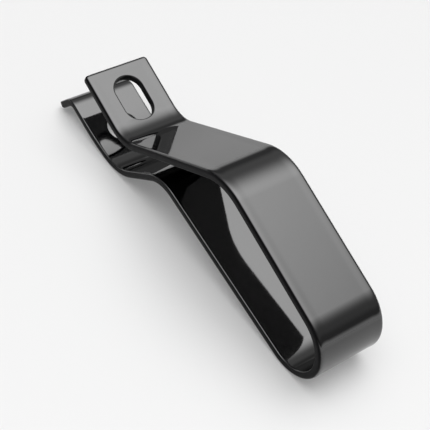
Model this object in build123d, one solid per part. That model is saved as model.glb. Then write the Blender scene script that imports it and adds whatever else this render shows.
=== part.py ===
from build123d import *
import math
import os

os.makedirs("parts", exist_ok=True)

# A cable clip, punched and folded from one strip of steel. All sizes are in
# millimetres and degrees, and every bend radius is measured to the middle of
# the strip's thickness. The lengths between the bends are the flat stretches.

# The strip, whose rim is rolled on its outer face and nearly sharp on its inner face
strip_width = 15.0
strip_thickness = 1.7
outer_rim_radius = 0.7
inner_rim_radius = 0.2
corner_radius = 1.3

# The upper lug and its slot, whose centre is measured from the lug's end
upper_lug_length = 14.1
slot_length = 11.0
slot_width = 7.1
slot_setback = 8.1

# The ramp from the upper lug to the loop
upper_bend_radius = 4.6
ramp_length = 27.7
ramp_angle = 50.5
shoulder_radius = 10.9

# The loop that holds the cables, which narrows towards its nose
top_length = 23.8
nose_radius = 7.7
taper_angle = 7.2
bottom_length = 36.6

# The short ramp under the loop and the knee that it stands on
instep_radius = 8.5
short_ramp_length = 8.8
short_ramp_angle = 58.8
knee_radius = 11.5
knee_angle = 46.0

# The lower lug, which is bowed a little next to the knee, and its hole, whose centre is
# measured along the strip from the lip's bend
lug_bow_radius = 48.0
lower_lug_angle = 1.9
lower_lug_length = 3.8
hole_diameter = 7.1
hole_setback = 8.2

# The lip at the end of the lower lug
lip_bend_radius = 2.65
lip_angle = 65.8
lip_length = 3.9


def bend(before, radius, turn):
    """An arc that leaves the stretch before it in line and turns by an angle, to the left if positive."""
    return JernArc(before @ 1, before % 1, radius, turn)


def flat(before, length):
    """A straight stretch that leaves the bend before it in line."""
    return Line(before @ 1, before @ 1 + (before % 1) * length)


# The line that the middle of the strip follows, drawn in X and Y from the end of the upper lug
upper_lug = Line((0, 0), (upper_lug_length, 0))
upper_bend = bend(upper_lug, upper_bend_radius, ramp_angle)
ramp = flat(upper_bend, ramp_length)
shoulder = bend(ramp, shoulder_radius, -ramp_angle)
top = flat(shoulder, top_length)
nose = bend(top, nose_radius, taper_angle - 180)
bottom = flat(nose, bottom_length)
instep = bend(bottom, instep_radius, short_ramp_angle - taper_angle)
short_ramp = flat(instep, short_ramp_length)
knee = bend(short_ramp, knee_radius, -knee_angle)
lug_bow = bend(knee, lug_bow_radius, knee_angle + lower_lug_angle - short_ramp_angle)
lower_lug = flat(lug_bow, lower_lug_length)
lip_bend = bend(lower_lug, lip_bend_radius, lip_angle)
lip = flat(lip_bend, lip_length)
stretches = [upper_lug, upper_bend, ramp, shoulder, top, nose, bottom]
stretches += [instep, short_ramp, knee, lug_bow, lower_lug, lip_bend, lip]
middle = Wire(stretches)

# The folded strip, with its profile turned upright and drawn out to both sides
profile = Plane.XZ * trace(middle, strip_thickness)
clip = extrude(profile, strip_width / 2, both=True)


def narrow_end(point):
    """The narrow face that closes the strip at one end of its middle line."""
    return clip.faces().sort_by_distance(Plane.XZ.from_local_coords(point))[0]


# The four corners that the lug and the lip have when the strip is seen flat
ends = [narrow_end(middle @ 0), narrow_end(middle @ 1)]
corners = [edge for end in ends for edge in end.edges().filter_by(Axis.Y, reverse=True)]
clip = fillet(corners, corner_radius)

# The two rims, which run on from the arcs of the nose along all four sides of their broad faces
nose_arcs = clip.faces().filter_by(Axis.Y).edges().filter_by(GeomType.CIRCLE).sort_by(Axis.X)[-4:]
clip = fillet(nose_arcs[2:], outer_rim_radius)
nose_arcs = clip.faces().filter_by(Axis.Y).edges().filter_by(GeomType.CIRCLE).sort_by(Axis.X)[-4:]
clip = fillet(nose_arcs[:2], inner_rim_radius)


def punched(outline, distance):
    """The tool that punches an outline through the strip, upright, at a distance along it."""
    centre = Plane.XZ.from_local_coords(middle.position_at(distance, position_mode=PositionMode.LENGTH))
    return extrude(Pos(*centre) * outline, strip_thickness, both=True)


# The slot is square to the upper lug, and the hole is in line with it, so that one
# straight screw passes through both
hole_distance = middle.length - lip.length - lip_bend.length - hole_setback
clip -= punched(SlotOverall(slot_length, slot_width), slot_setback)
clip -= punched(Circle(hole_diameter / 2), hole_distance)

# The clip lies as it comes to rest: the knee and the nose both touch the ground
knee_to_nose = nose.arc_center - knee.arc_center
knee_to_nose_slope = math.degrees(math.atan2(knee_to_nose.Y, knee_to_nose.X))
extra_slope = math.degrees(math.asin((knee_radius - nose_radius) / knee_to_nose.length))
clip = Rot(0, knee_to_nose_slope + extra_slope, 0) * clip

# The origin is on the ground, under the middle of the clip
box = clip.bounding_box()
clip = Pos(-box.center().X, -box.center().Y, -box.min.Z) * clip

print(f"strip {middle.length:.1f} long, {clip.volume:.1f} cubic mm, box {box.size}")
export_step(clip, "parts/cable_clip.step")
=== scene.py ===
"""Dresses the cable clip and sets it on a pale studio floor, seen from above and in front.

The clip is modelled as it is made. A flat blank gets its corners, its slot, its
hole and its rolled rims, is scored across at every fold line, and is then folded
line by line, from the lip back to the upper lug, until it has its final form.
"""

import logging
import math
from dataclasses import dataclass, field
from enum import Enum
from typing import Callable, Optional, Union

import bmesh
import bpy
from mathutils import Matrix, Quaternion, Vector

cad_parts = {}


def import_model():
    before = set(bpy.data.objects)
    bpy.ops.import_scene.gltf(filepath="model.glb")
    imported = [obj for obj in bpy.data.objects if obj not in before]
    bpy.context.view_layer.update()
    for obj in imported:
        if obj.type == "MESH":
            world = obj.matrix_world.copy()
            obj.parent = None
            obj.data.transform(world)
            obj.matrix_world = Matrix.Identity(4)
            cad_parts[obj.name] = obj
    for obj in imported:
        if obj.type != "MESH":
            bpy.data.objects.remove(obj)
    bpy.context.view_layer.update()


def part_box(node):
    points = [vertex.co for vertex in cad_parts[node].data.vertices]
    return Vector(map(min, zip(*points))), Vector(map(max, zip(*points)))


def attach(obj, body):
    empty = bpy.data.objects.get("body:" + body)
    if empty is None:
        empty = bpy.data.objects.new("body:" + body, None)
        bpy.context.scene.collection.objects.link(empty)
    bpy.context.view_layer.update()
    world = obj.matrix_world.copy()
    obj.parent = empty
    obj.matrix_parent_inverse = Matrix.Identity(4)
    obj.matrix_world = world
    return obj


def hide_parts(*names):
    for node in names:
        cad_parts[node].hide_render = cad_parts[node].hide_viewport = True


LOG = logging.getLogger("cable_clip")
MM = 0.001
RIM_DEPTH = "rim_depth"
HORIZON = 0.05
Number = Union[int, float]
Colour = tuple[float, float, float]


class Side(Enum):
    """The way that a bend turns, seen from the near side with the lugs on the left."""

    LEFT = 1
    RIGHT = -1


@dataclass(frozen=True)
class Flat:
    """A flat stretch of the strip."""

    name: str
    length: float

    def rows(self, start: float, turn: float, step: float) -> list[tuple[float, float]]:
        """Fold lines across the stretch, which has none."""
        return []


@dataclass(frozen=True)
class Bend:
    """A round bend of the strip, measured to the middle of its thickness."""

    name: str
    radius: float
    angle: float
    side: Side

    @property
    def length(self) -> float:
        """How much of the blank the bend takes up."""
        return self.radius * math.radians(self.angle)

    def rows(self, start: float, turn: float, step: float) -> list[tuple[float, float]]:
        """Fold lines across the bend, with half a fold at its first and its last line.

        Args:
            start: where the bend begins along the blank.
            turn: the largest fold at one line, in degrees.
            step: the largest distance between two lines.

        Returns:
            Pairs of a place along the blank and the fold made there, in radians.
        """
        count = math.ceil(max(self.angle / turn, self.length / step))
        fold = math.radians(self.angle) / count * self.side.value
        places = [start + self.length * i / count for i in range(count + 1)]
        folds = [fold / 2] + [fold] * (count - 1) + [fold / 2]
        return list(zip(places, folds))


class Wire:
    """A shader socket on which arithmetic adds Math nodes."""

    def __init__(self, tree: bpy.types.NodeTree, socket: bpy.types.NodeSocket) -> None:
        """Keeps the tree and the socket."""
        self.tree = tree
        self.socket = socket

    def _math(
        self, operation: str, first: Union["Wire", Number], second: Union["Wire", Number]
    ) -> "Wire":
        """Adds one Math node.

        Args:
            operation: the node's operation.
            first: its first value.
            second: its second value.

        Returns:
            The node's result.
        """
        node = self.tree.nodes.new("ShaderNodeMath")
        node.operation = operation
        for slot, value in zip(node.inputs, (first, second)):
            if isinstance(value, Wire):
                self.tree.links.new(value.socket, slot)
            else:
                slot.default_value = value
        return Wire(self.tree, node.outputs[0])

    def __add__(self, other: Union["Wire", Number]) -> "Wire":
        """The sum."""
        return self._math("ADD", self, other)

    __radd__ = __add__

    def __sub__(self, other: Union["Wire", Number]) -> "Wire":
        """The difference."""
        return self._math("SUBTRACT", self, other)

    def __rsub__(self, other: Union["Wire", Number]) -> "Wire":
        """The difference, the other way round."""
        return self._math("SUBTRACT", other, self)

    def __mul__(self, other: Union["Wire", Number]) -> "Wire":
        """The product."""
        return self._math("MULTIPLY", self, other)

    __rmul__ = __mul__

    def __truediv__(self, other: Union["Wire", Number]) -> "Wire":
        """The quotient."""
        return self._math("DIVIDE", self, other)

    def __rtruediv__(self, other: Union["Wire", Number]) -> "Wire":
        """The quotient, the other way round."""
        return self._math("DIVIDE", other, self)

    def at_least(self, least: Union["Wire", Number]) -> "Wire":
        """The larger of two values."""
        return self._math("MAXIMUM", self, least)

    def exponential(self) -> "Wire":
        """The natural exponential of the value."""
        return self._math("EXPONENT", self, 0.0)


class Shader:
    """A node tree that is cleared and then filled through one method."""

    def __init__(self, tree: bpy.types.NodeTree) -> None:
        """Clears the tree."""
        self.tree = tree
        tree.nodes.clear()

    def node(
        self,
        kind: str,
        settings: Optional[dict[str, object]] = None,
        **sockets: object,
    ) -> bpy.types.Node:
        """Adds a node.

        Args:
            kind: the node's type, without the ShaderNode in front.
            settings: properties that are set first.
            **sockets: values or wires for its inputs, with underscores for spaces.

        Returns:
            The node.
        """
        node = self.tree.nodes.new("ShaderNode" + kind)
        for key, value in (settings or {}).items():
            setattr(node, key, value)
        for name, value in sockets.items():
            socket = node.inputs[name.replace("_", " ")]
            if isinstance(value, Wire):
                self.tree.links.new(value.socket, socket)
            else:
                socket.default_value = value
        return node

    def wire(self, node: bpy.types.Node, output: Union[int, str] = 0) -> Wire:
        """An output of a node, ready for arithmetic."""
        return Wire(self.tree, node.outputs[output])

    def smooth_step(
        self, value: Wire, start: float, end: float, low: Union[Wire, Number], high: Union[Wire, Number]
    ) -> Wire:
        """A smooth change from one level to another.

        Args:
            value: what the change depends on.
            start: the value at which the change begins.
            end: the value at which it ends.
            low: the level before the change.
            high: the level after it.

        Returns:
            The level.
        """
        node = self.node(
            "MapRange",
            {"interpolation_type": "SMOOTHSTEP"},
            Value=value,
            From_Min=start,
            From_Max=end,
            To_Min=low,
            To_Max=high,
        )
        return self.wire(node)

    def noise(self, place: Wire, size: float, detail: float, roughness: float = 0.5) -> Wire:
        """A noise pattern.

        Args:
            place: where on the piece it is read.
            size: the size of its grains.
            detail: how many finer layers it has.
            roughness: how strong the finer layers are.

        Returns:
            The pattern, from 0 to 1.
        """
        node = self.node("TexNoise", Vector=place, Scale=1 / size, Detail=detail, Roughness=roughness)
        return self.wire(node)

    def mixed(self, factor: Wire, first: bpy.types.Node, second: bpy.types.Node) -> Wire:
        """Two shaders in one.

        Args:
            factor: the share of the second shader.
            first: the first shader.
            second: the second shader.

        Returns:
            The mixed shader.
        """
        node = self.node("MixShader", Fac=factor)
        for slot, shader in zip(list(node.inputs)[1:], (first, second)):
            self.tree.links.new(shader.outputs[0], slot)
        return self.wire(node)


def new_material(name: str) -> tuple[bpy.types.Material, Shader]:
    """Makes an empty node material.

    Args:
        name: the material's name.

    Returns:
        The material and its shader.
    """
    material = bpy.data.materials.new(name)
    material.use_nodes = True
    return material, Shader(material.node_tree)


@dataclass(frozen=True)
class BlackEnamel:
    """A stoved gloss black enamel with a faint orange peel and slow waves.

    On the rims it turns dark and dull, a painted shade that takes away most of their reflection.
    """

    name: str = "black_enamel"
    colour: Colour = (0.0008, 0.0008, 0.001)
    cloud_size: float = 11.25 * MM
    cloud_tint: float = 1.8
    cloud_roughness: float = 0.04
    refraction: float = 1.84
    roughness: float = 0.05
    peel_size: float = 1.1 * MM
    peel_height: float = 0.0005 * MM
    peel_roughness: float = 0.02
    wave_size: float = 4.5 * MM
    wave_height: float = 0.006 * MM
    # Colour, reflection level, depths and waver of the painted shade on the rims.
    rim_shade_colour: Colour = (0.003, 0.003, 0.0035)
    rim_roughness: float = 0.4
    rim_peel_roughness: float = 0.2
    rim_shade_level: float = 0.07
    rim_shade_depths: tuple[float, float] = (0.06 * MM, 0.26 * MM)
    rim_shade_waver: float = 0.1 * MM

    def build(self) -> bpy.types.Material:
        """Makes the material.

        Returns:
            The material.
        """
        material, shader = new_material(self.name)
        place = shader.wire(shader.node("TexCoord"), "Object")
        peel = shader.noise(place, self.peel_size, 3.0)
        wave = shader.noise(place, self.wave_size, 1.0, 0.4)
        cloud = shader.noise(place, self.cloud_size, 4.0)
        height = peel * self.peel_height + wave * self.wave_height
        bump = shader.wire(shader.node("Bump", Strength=1.0, Distance=1.0, Height=height))
        tint = shader.wire(
            shader.node(
                "Mix",
                {"data_type": "RGBA"},
                Factor=cloud,
                A=(*self.colour, 1.0),
                B=(*(self.cloud_tint * c for c in self.colour), 1.0),
            ),
            "Result",
        )
        uneven = (cloud - 0.5) * self.cloud_roughness + (peel - 0.5) * self.peel_roughness
        gloss = shader.node(
            "BsdfPrincipled",
            Base_Color=tint,
            Roughness=self.roughness + uneven,
            IOR=self.refraction,
            Normal=bump,
        )
        # Dark, barely reflecting coat for the rims: painted shade.
        shaded_rim = shader.node(
            "BsdfPrincipled",
            Base_Color=(*self.rim_shade_colour, 1.0),
            Roughness=self.rim_roughness + (peel - 0.5) * self.rim_peel_roughness,
            Specular_IOR_Level=self.rim_shade_level,
            Normal=bump,
        )
        depth = shader.wire(shader.node("Attribute", {"attribute_name": RIM_DEPTH}), "Fac")
        # Share of the painted rim shade, from the depth below the broad face.
        shaded_rim_share = shader.smooth_step(depth + (peel - 0.5) * self.rim_shade_waver, *self.rim_shade_depths, 0.0, 1.0)
        shader.node("OutputMaterial", Surface=shader.mixed(shaded_rim_share, gloss, shaded_rim))
        return material


@dataclass(frozen=True)
class SatinPaper:
    """The plain pale paper of the studio floor, which glows a little and is paler beyond the picture, a
    painted pool of light that the clip mirrors.
    """

    name: str = "pale_paper"
    near_colour: float = 0.79
    far_painted_light_colour: float = 0.96
    # Where the paper turns paler: the painted pool of light beyond the picture.
    painted_light_rise: tuple[float, float] = (110 * MM, 200 * MM)
    roughness: float = 0.45
    glow: float = 0.913
    glow_share: float = 0.2

    def build(self) -> bpy.types.Material:
        """Makes the material.

        Returns:
            The material.
        """
        material, shader = new_material(self.name)
        place = shader.wire(shader.node("TexCoord"), "Object")
        away = shader.wire(shader.node("VectorMath", {"operation": "LENGTH"}, Vector=place), "Value")
        # Paler paper from 110 mm out: a painted pool of light, seen in the clip's reflections.
        colour = shader.smooth_step(away, *self.painted_light_rise, self.near_colour, self.far_painted_light_colour)
        paper = shader.node("BsdfPrincipled", Base_Color=colour, Roughness=self.roughness)
        glow = shader.node("Emission", Strength=self.glow)
        ray = shader.node("LightPath")
        seen = shader.wire(ray, "Is Camera Ray").at_least(shader.wire(ray, "Is Glossy Ray"))
        seen = seen.at_least(shader.wire(ray, "Is Transmission Ray"))
        shader.node("OutputMaterial", Surface=shader.mixed(seen * self.glow_share, paper, glow))
        return material


def deselect_all() -> None:
    """Leaves edit mode if need be and deselects every object."""
    if bpy.context.mode != "OBJECT":
        bpy.ops.object.mode_set(mode="OBJECT")
    bpy.ops.object.select_all(action="DESELECT")


def activate(piece: bpy.types.Object) -> None:
    """Makes one object the only selected one and the active one."""
    deselect_all()
    piece.select_set(True)
    bpy.context.view_layer.objects.active = piece


def settle(piece: bpy.types.Object) -> None:
    """Moves an object's place, turn and scale into its mesh."""
    activate(piece)
    bpy.ops.object.transform_apply(location=True, rotation=True, scale=True)


def select_vertices(piece: bpy.types.Object, wanted: Callable[[bmesh.types.BMVert], bool]) -> None:
    """Selects vertices of the edited mesh.

    Args:
        piece: the object in edit mode.
        wanted: tells whether a vertex is selected.
    """
    mesh = bmesh.from_edit_mesh(piece.data)
    for vertex in mesh.verts:
        vertex.select_set(False)
    for vertex in mesh.verts:
        if wanted(vertex):
            vertex.select_set(True)
    mesh.select_flush_mode()
    bmesh.update_edit_mesh(piece.data)


@dataclass
class FoldedStrip:
    """The one piece of the clip: a steel strip, folded into a loop with two lugs.

    The punch came from the outer face, so the rims are rounder there than on the inner face.
    """

    width: float = 15.0 * MM
    thickness: float = 1.7 * MM
    outer_rim: float = 0.7 * MM
    inner_rim: float = 0.35 * MM
    corner_radius: float = 0.85 * MM
    corner_segments: int = 10
    slot_length: float = 10.2 * MM
    slot_width: float = 6.3 * MM
    slot_setback: float = 8.1 * MM
    hole_diameter: float = 7.1 * MM
    hole_setback: float = 8.2 * MM
    hole_sides: int = 96
    punch_roll: float = 0.4 * MM
    burr_roll: float = 0.1 * MM
    bead: tuple[tuple[float, float], ...] = (
        (0.35 * MM, 0.0),
        (0.4 * MM, 0.010 * MM),
        (0.5 * MM, 0.018 * MM),
        (0.5 * MM, 0.006 * MM),
    )
    sharp_angle: float = 60.0
    smooth_angle: float = 40.0
    face_weight: int = 50
    fold_step: float = 1.2
    row_step: float = 0.8 * MM
    near: float = 0.001 * MM
    rest_turn: float = 21.38375
    stretches: tuple[Union[Flat, Bend], ...] = (
        Flat("upper_lug", 12.2 * MM),
        Bend("upper_bend", 8.63 * MM, 50.5, Side.LEFT),
        Flat("ramp", 25.8 * MM),
        Bend("shoulder", 10.9 * MM, 50.5, Side.RIGHT),
        Flat("top", 23.8 * MM),
        Bend("nose", 7.7 * MM, 172.8, Side.RIGHT),
        Flat("bottom", 36.6 * MM),
        Bend("instep", 8.5 * MM, 51.6, Side.LEFT),
        Flat("short_ramp", 8.8 * MM),
        Bend("knee", 11.5 * MM, 46.0, Side.RIGHT),
        Bend("lug_bow", 48.0 * MM, 10.9, Side.RIGHT),
        Flat("lower_lug", 3.8 * MM),
        Bend("lip_bend", 2.65 * MM, 65.8, Side.LEFT),
        Flat("lip", 3.9 * MM),
    )
    piece: Optional[bpy.types.Object] = field(default=None, init=False)

    @property
    def length(self) -> float:
        """The length of the blank."""
        return sum(stretch.length for stretch in self.stretches)

    def blank(self) -> None:
        """Cuts the blank: a plate along X from the upper lug's end, with its four corners rounded."""
        deselect_all()
        bpy.ops.mesh.primitive_cube_add(size=1.0, location=(self.length / 2, 0.0, 0.0))
        self.piece = bpy.context.active_object
        self.piece.name = "coated_strip"
        self.piece.scale = (self.length, self.width, self.thickness)
        settle(self.piece)
        bpy.ops.object.mode_set(mode="EDIT")
        bpy.ops.mesh.select_mode(type="EDGE")
        bpy.ops.mesh.select_all(action="DESELECT")
        mesh = bmesh.from_edit_mesh(self.piece.data)
        for edge in mesh.edges:
            first, second = edge.verts
            if abs(first.co.z - second.co.z) > self.thickness / 2:
                edge.select_set(True)
        bmesh.update_edit_mesh(self.piece.data)
        self.bevel(self.corner_radius, self.corner_segments)
        self.roll_sharp_edges(self.outer_rim, 8, 1.0)
        self.roll_sharp_edges(self.inner_rim, 5, -1.0)
        bpy.ops.object.mode_set(mode="OBJECT")

    def bevel(self, radius: float, segments: int) -> None:
        """Rounds the selected edges of the edited mesh."""
        bpy.ops.mesh.bevel(offset=radius, segments=segments, affect="EDGES", clamp_overlap=False)

    def cut(self, axis: int, place: float) -> None:
        """Cuts every face of the edited mesh along a plane.

        Args:
            axis: the axis that the plane is square to, as 0, 1 or 2 for X, Y or Z.
            place: where the plane crosses the axis.
        """
        normal = Vector((0.0, 0.0, 0.0))
        normal[axis] = 1.0
        bpy.ops.mesh.select_all(action="SELECT")
        bpy.ops.mesh.bisect(plane_co=normal * place, plane_no=normal)

    def sink_face(self) -> None:
        """Sinks the blank's outer face a little, which leaves a low bead inside its rim."""
        activate(self.piece)
        bpy.ops.object.mode_set(mode="EDIT")
        bpy.ops.mesh.select_mode(type="VERT")
        inside = self.outer_rim
        for step in (0.0, *(width for width, _ in self.bead)):
            inside += step
            for place in (self.width / 2 - inside, inside - self.width / 2):
                self.cut(1, place)
            for place in (inside, self.length - inside):
                self.cut(0, place)
        inside = self.outer_rim - self.near
        for step, drop in self.bead:
            inside += step
            select_vertices(self.piece, lambda v: v.co.z > 0.0 and self.margin(v.co) > inside)
            bpy.ops.transform.translate(value=(0.0, 0.0, -drop))
        bpy.ops.object.mode_set(mode="OBJECT")

    def margin(self, place: Vector) -> float:
        """How far inside the edges of the flat blank a place lies."""
        return min(self.width / 2 - abs(place.y), place.x, self.length - place.x)

    def mark_depth(self) -> None:
        """Notes how far each vertex of the flat blank lies below its broad face, as the mask for the
        painted shade on the rims.
        """
        bpy.ops.object.mode_set(mode="EDIT")
        self.cut(2, 0.0)
        bpy.ops.object.mode_set(mode="OBJECT")
        depths = [self.thickness / 2 - abs(vertex.co.z) for vertex in self.piece.data.vertices]
        self.piece.data.attributes.new(RIM_DEPTH, "FLOAT", "POINT").data.foreach_set("value", depths)

    def roll_sharp_edges(self, radius: float, segments: int, side: float) -> None:
        """Rounds every edge of one broad face of the edited blank that is still sharp.

        Args:
            radius: the radius of the rounding.
            segments: how many faces go round it.
            side: 1 for the outer face and -1 for the inner face.
        """
        bpy.ops.mesh.select_mode(type="EDGE")
        bpy.ops.mesh.select_all(action="DESELECT")
        bpy.ops.mesh.edges_select_sharp(sharpness=math.radians(self.sharp_angle))
        mesh = bmesh.from_edit_mesh(self.piece.data)
        for edge in mesh.edges:
            if any(vertex.co.z * side < 0.4 * self.thickness for vertex in edge.verts):
                edge.select_set(False)
        bmesh.update_edit_mesh(self.piece.data)
        self.bevel(radius, segments)

    def punch(self, centre: float, width: float, length: float) -> None:
        """Punches a round hole or a slot with round ends through the blank.

        Args:
            centre: its centre along the blank.
            width: its width, which is the diameter of its ends.
            length: its length over both ends.
        """
        deselect_all()
        bpy.ops.mesh.primitive_cylinder_add(
            vertices=self.hole_sides,
            radius=width / 2,
            depth=4 * self.thickness,
            location=(centre, 0.0, 0.0),
        )
        tool = bpy.context.active_object
        settle(tool)
        stretch = (length - width) / 2
        if stretch > 0:
            bpy.ops.object.mode_set(mode="EDIT")
            for way in (1, -1):
                select_vertices(tool, lambda v, way=way: (v.co.x - centre) * way > 0.01 * width)
                bpy.ops.transform.translate(value=(way * stretch, 0.0, 0.0))
            bpy.ops.object.mode_set(mode="OBJECT")
        activate(self.piece)
        cut = self.piece.modifiers.new("punch", "BOOLEAN")
        cut.operation = "DIFFERENCE"
        cut.solver = "EXACT"
        cut.object = tool
        bpy.ops.object.modifier_apply(modifier=cut.name)
        bpy.data.objects.remove(tool)

    def punch_both(self) -> None:
        """Punches the slot and the hole and rolls their rims a little, as the punch draws them in."""
        tail = sum(part.length for part in self.stretches if part.name in ("lip_bend", "lip"))
        self.punch(self.slot_setback, self.slot_width, self.slot_length)
        self.punch(self.length - tail - self.hole_setback, self.hole_diameter, self.hole_diameter)
        activate(self.piece)
        bpy.ops.object.mode_set(mode="EDIT")
        bpy.ops.mesh.select_all(action="SELECT")
        bpy.ops.mesh.remove_doubles(threshold=self.near / 2)
        self.roll_sharp_edges(self.punch_roll, 5, 1.0)
        self.roll_sharp_edges(self.burr_roll, 2, -1.0)
        bpy.ops.object.mode_set(mode="OBJECT")

    def rows(self) -> list[tuple[float, float]]:
        """All lines across the blank, from the upper lug's end on, with the fold made at each."""
        rows: list[tuple[float, float]] = []
        start = 0.0
        for stretch in self.stretches:
            rows += stretch.rows(start, self.fold_step, self.row_step)
            start += stretch.length
        return sorted(rows)

    def score(self) -> None:
        """Cuts every face of the blank along the lines across it."""
        activate(self.piece)
        bpy.ops.object.mode_set(mode="EDIT")
        for place, _ in self.rows():
            self.cut(0, place)
        bpy.ops.object.mode_set(mode="OBJECT")

    def fold(self) -> None:
        """Folds the scored blank, line by line, from the lip back to the upper lug."""
        activate(self.piece)
        along = [vertex.co.x for vertex in self.piece.data.vertices]
        bpy.ops.object.mode_set(mode="EDIT")
        for place, turn in reversed(self.rows()):
            before, after = place - 2 * self.near, place + 2 * self.near
            for lowest, highest, share in ((after, math.inf, 1.0), (before, after, 0.5)):
                select_vertices(self.piece, lambda v: lowest < along[v.index] <= highest)
                bpy.ops.transform.rotate(
                    value=turn * share,
                    orient_axis="Y",
                    orient_type="GLOBAL",
                    center_override=(place, 0.0, 0.0),
                )
        bpy.ops.object.mode_set(mode="OBJECT")

    def seat(self, lowest: Vector, highest: Vector) -> None:
        """Turns the folded strip to how it rests and moves it to its place by its nose and the ground.

        Args:
            lowest: the lowest corner of the clip's box.
            highest: the highest corner of the clip's box.
        """
        activate(self.piece)
        self.piece.rotation_euler = (0.0, math.radians(self.rest_turn), 0.0)
        settle(self.piece)
        corners = [vertex.co for vertex in self.piece.data.vertices]
        low = Vector([min(c[i] for c in corners) for i in range(3)])
        high = Vector([max(c[i] for c in corners) for i in range(3)])
        middle = (lowest.y + highest.y - low.y - high.y) / 2
        self.piece.location = (highest.x - high.x, middle, lowest.z - low.z)
        settle(self.piece)

    def smooth(self) -> None:
        """Shades the strip smoothly, with the broad faces ruling the normals at their rims."""
        activate(self.piece)
        bpy.ops.object.mode_set(mode="EDIT")
        bpy.ops.mesh.select_all(action="SELECT")
        bpy.ops.mesh.normals_make_consistent(inside=False)
        bpy.ops.object.mode_set(mode="OBJECT")
        bpy.ops.object.shade_smooth_by_angle(angle=math.radians(self.smooth_angle))
        weights = self.piece.modifiers.new("weights", "WEIGHTED_NORMAL")
        weights.mode = "FACE_AREA"
        weights.weight = self.face_weight
        weights.keep_sharp = True
        bpy.ops.object.modifier_apply(modifier=weights.name)

    def build(self, finish: BlackEnamel) -> bpy.types.Object:
        """Makes the strip and dresses it.

        Args:
            finish: its coat.

        Returns:
            The finished piece.
        """
        self.blank()
        self.punch_both()
        self.score()
        self.mark_depth()
        self.sink_face()
        self.fold()
        self.seat(*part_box("cable_clip"))
        self.smooth()
        self.piece.data.materials.clear()
        self.piece.data.materials.append(finish.build())
        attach(self.piece, "root")
        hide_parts("cable_clip")
        return self.piece


@dataclass
class Studio:
    """The floor, the soft light and the camera."""

    floor_size: float = 6.0
    camera_place: tuple[float, float, float] = (110.468 * MM, -103.645 * MM, 161.9 * MM)
    camera_aim: tuple[float, float, float] = (-0.931 * MM, 3.871 * MM, 0.0)
    camera_roll: float = 11.0079
    sensor_width: float = 36.0
    focal_pixels: float = 1100.0
    image_pixels: float = 430.0
    room_light: float = 0.3
    front_light: float = 0.15
    front_depths: tuple[float, float] = (-0.6, 0.4)
    low_share: float = 0.55
    low_heights: tuple[float, float] = (0.28, 0.5)
    left_share: float = 1.4
    left_places: tuple[float, float] = (-0.5, 0.1)
    backdrop_light: float = 1.0
    backdrop_top: float = 0.04
    backdrop_fade: float = 0.16
    box_light: float = 3.4
    box_centre: tuple[float, float] = (-0.03, 0.14)
    box_spread: tuple[float, float] = (0.55, 0.76)

    def floor(self) -> bpy.types.Object:
        """Lays the floor at the height on which the clip stands.

        Returns:
            The floor.
        """
        deselect_all()
        bpy.ops.mesh.primitive_plane_add(size=self.floor_size, location=(0.0, 0.0, 0.0))
        floor = bpy.context.active_object
        floor.name = "floor"
        floor.data.materials.append(SatinPaper().build())
        return floor

    def light(self) -> None:
        """Lights the room: a soft box overhead, a dim room and a pale band along the horizon."""
        world = bpy.data.worlds.new("studio")
        bpy.context.scene.world = world
        world.use_nodes = True
        shader = Shader(world.node_tree)
        way = shader.wire(shader.node("TexCoord"), "Generated")
        parts = shader.node("SeparateXYZ", Vector=way)
        across, depth, height = (shader.wire(parts, axis) for axis in "XYZ")
        above = height.at_least(HORIZON)
        side = (across / above - self.box_centre[0]) / self.box_spread[0]
        ahead = (depth / above - self.box_centre[1]) / self.box_spread[1]
        square = ahead * ahead
        box = (side * side * -1.0 - square * square).exponential() * self.box_light
        room = shader.smooth_step(depth, *self.front_depths, self.front_light, self.room_light)
        upper = shader.smooth_step(across, *self.left_places, self.left_share, 1.0)
        room = room * shader.smooth_step(height, *self.low_heights, self.low_share, upper)
        fade_end = self.backdrop_top + self.backdrop_fade
        total = box + shader.smooth_step(height, self.backdrop_top, fade_end, self.backdrop_light, room)
        back = shader.node("Background", Color=total, Strength=1.0)
        shader.node("OutputWorld", Surface=shader.wire(back))

    def camera(self) -> bpy.types.Object:
        """Sets the camera at the photograph's angle.

        Returns:
            The camera.
        """
        data = bpy.data.cameras.new("camera")
        data.sensor_width = self.sensor_width
        data.lens = self.sensor_width * self.focal_pixels / self.image_pixels
        data.clip_start = 10 * MM
        data.dof.use_dof = False
        camera = bpy.data.objects.new("camera", data)
        bpy.context.scene.collection.objects.link(camera)
        camera.location = self.camera_place
        way = Vector(self.camera_aim) - Vector(self.camera_place)
        roll = Quaternion((0.0, 0.0, 1.0), math.radians(self.camera_roll))
        camera.rotation_mode = "QUATERNION"
        camera.rotation_quaternion = way.to_track_quat("-Z", "Y") @ roll
        bpy.context.scene.camera = camera
        return camera


def main() -> None:
    """Builds the clip and its studio and reports each piece."""
    logging.basicConfig(level=logging.INFO, format="%(message)s")
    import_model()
    bpy.context.scene.view_settings.view_transform = "Standard"
    studio = Studio()
    studio.camera()
    LOG.info("floor: %s", studio.floor().name)
    studio.light()
    piece = FoldedStrip().build(BlackEnamel())
    LOG.info("%s: %d faces", piece.name, len(piece.data.polygons))


if __name__ == "__main__":
    main()
